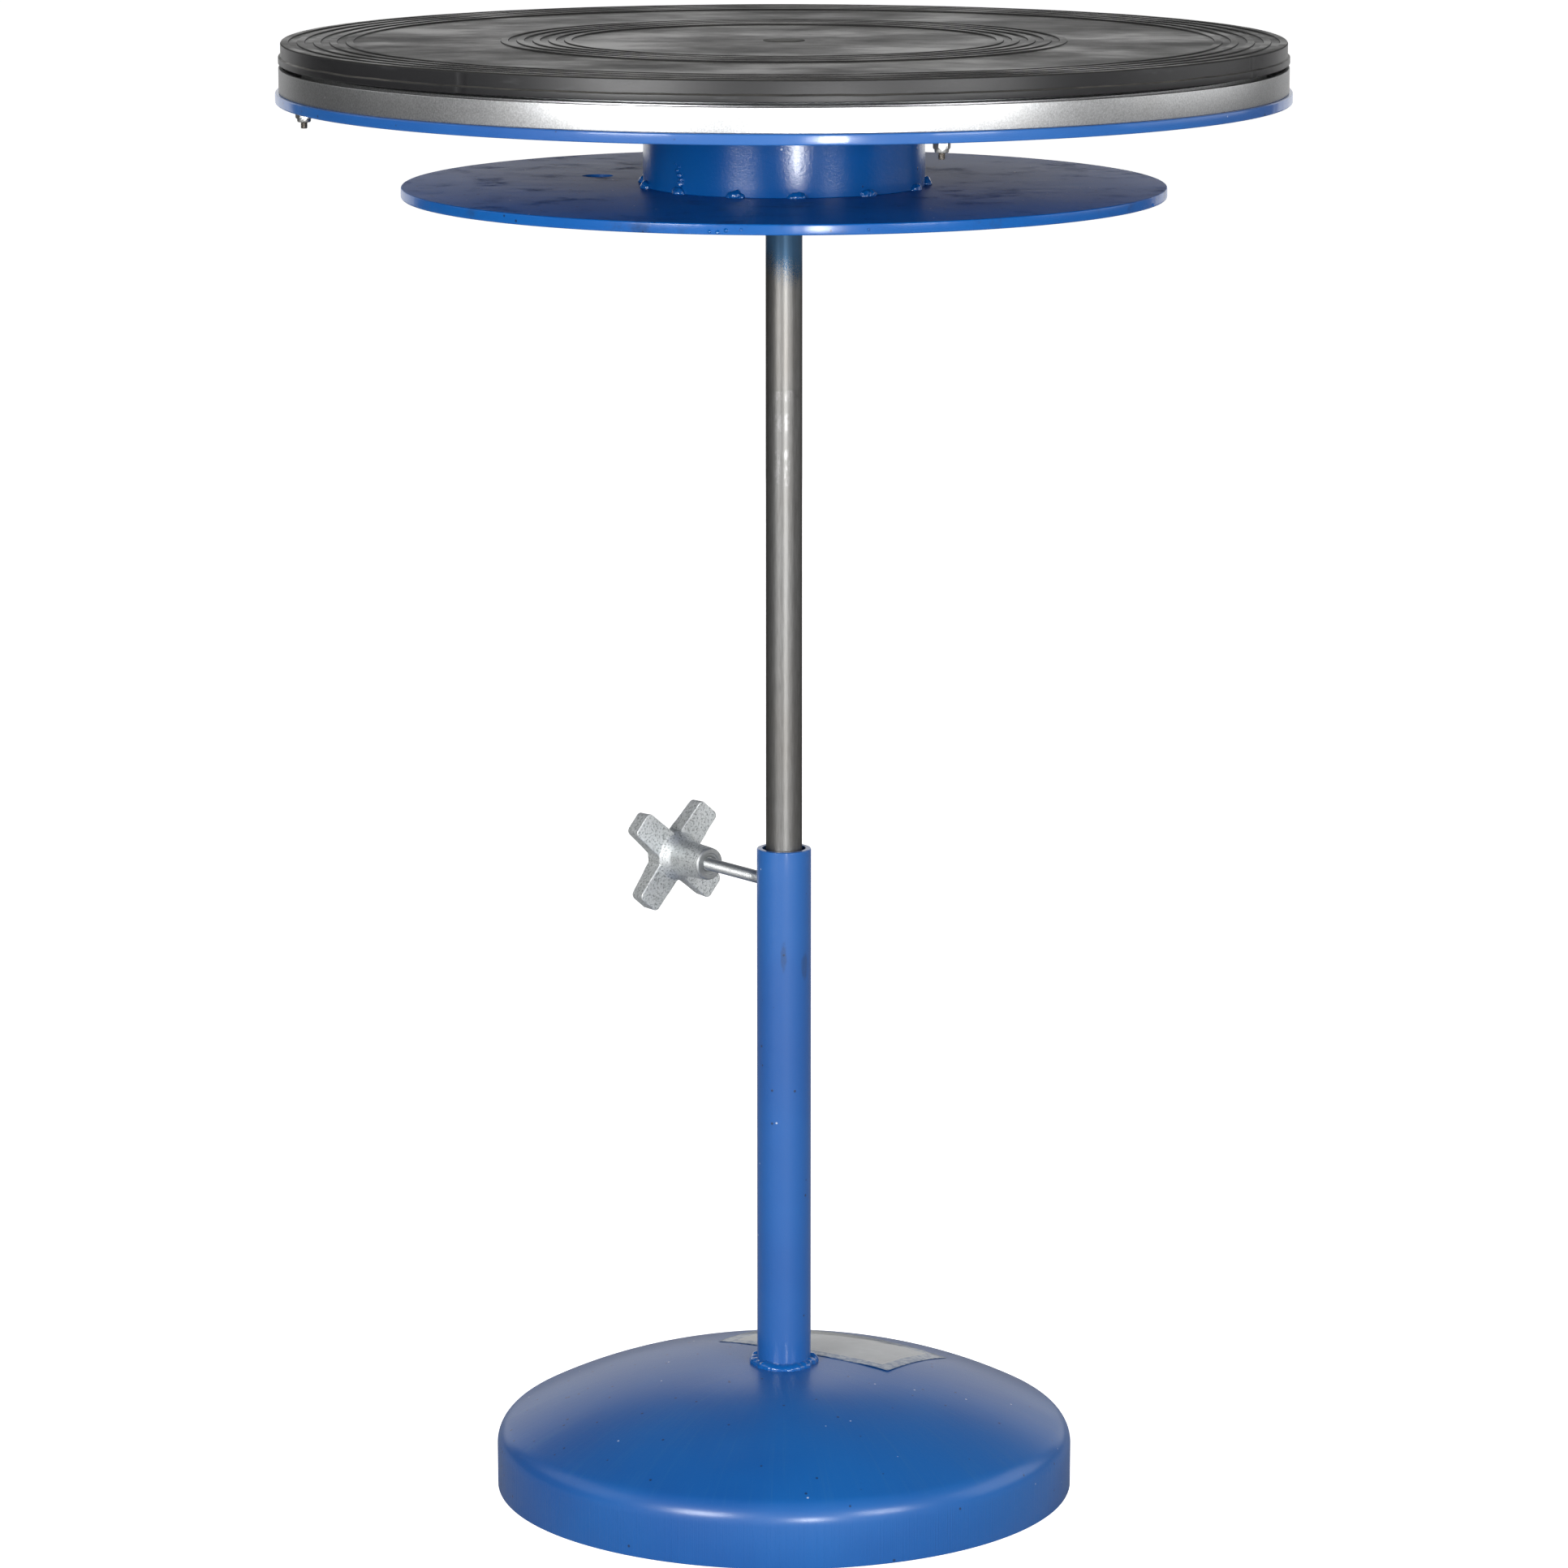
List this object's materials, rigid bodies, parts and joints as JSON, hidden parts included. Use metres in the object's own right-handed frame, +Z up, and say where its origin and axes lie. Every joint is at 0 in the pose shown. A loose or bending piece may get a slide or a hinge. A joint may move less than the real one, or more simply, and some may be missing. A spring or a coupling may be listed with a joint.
{
  "type": "pedestal turntable",
  "caption": "Height-adjustable pedestal turntable: ribbed rubber top on a ball bearing ring, welded spool, steel rod clamped in the tube of a domed base.",
  "frame": {"origin": "on the floor, on the axis of the column, under the centre of the base", "axes": "+Z up along the column; -Y towards the front; the clamp knob points to 128 degrees from +X, seen from above"},
  "size_m": [0.6095, 0.6096, 0.8999],
  "materials": {
    "blue_enamel": "glossy enamel",
    "label_film": "laminated film",
    "zinc_plate": "bright zinc plate",
    "zinc_casting": "zinc-plated casting",
    "bare_steel": "cold-drawn, lightly worn",
    "ring_aluminium": "satin",
    "ball_steel": "polished",
    "cage_plastic": "moulded nylon",
    "plate_aluminium": "mill finish",
    "ribbed_rubber": "moulded, slightly dusty"
  },
  "bodies": {
    "base": {"base_dome": "blue_enamel", "base_tube": "blue_enamel", "tube_foot_weld": "blue_enamel", "base_label": "label_film"},
    "column": {"column_rod": "bare_steel", "rod_weld": "blue_enamel", "lower_disc": "blue_enamel", "hub_pipe": "blue_enamel", "hub_lower_tacks": "blue_enamel", "hub_upper_tacks": "blue_enamel", "upper_plate": "blue_enamel", "fixed_ring": "ring_aluminium", "ring_screws": "zinc_plate", "ring_locknuts": "zinc_plate"},
    "ball_row": {"bearing_balls": "ball_steel", "ball_cage": "cage_plastic"},
    "turntable": {"turning_ring": "ring_aluminium", "plate_screws": "zinc_plate", "top_plate": "plate_aluminium", "rubber_mat": "ribbed_rubber"},
    "clamp_stud": {"clamp_stud": "zinc_plate"},
    "clamp_knob": {"clamp_knob": "zinc_casting"}
  },
  "joints": [
    {"name": "column_height", "type": "slide", "parent": "base", "child": "column", "axis": [0, 0, 1], "range_m": [-0.185, 0.14]},
    {"name": "turntable_spin", "type": "hinge", "parent": "column", "child": "turntable", "pos_m": [0, 0, 0.879], "axis": [0, 0, 1], "continuous": true},
    {"name": "ball_row_spin", "type": "hinge", "parent": "column", "child": "ball_row", "pos_m": [0, 0, 0.879], "axis": [0, 0, 1], "continuous": true},
    {"name": "clamp_screw_feed", "type": "slide", "parent": "base", "child": "clamp_stud", "axis": [-0.6157, 0.788, 0], "range_m": [0, 0.003]},
    {"name": "clamp_knob_turn", "type": "hinge", "parent": "clamp_stud", "child": "clamp_knob", "pos_m": [0, 0, 0.382], "axis": [-0.6157, 0.788, 0], "range_deg": [0, 765]}
  ],
  "couplings": [
    {"joint": "ball_row_spin", "follows": "turntable_spin", "ratio": 0.49463},
    {"joint": "clamp_screw_feed", "follows": "clamp_knob_turn", "m_per_rad": 0.00022459}
  ]
}
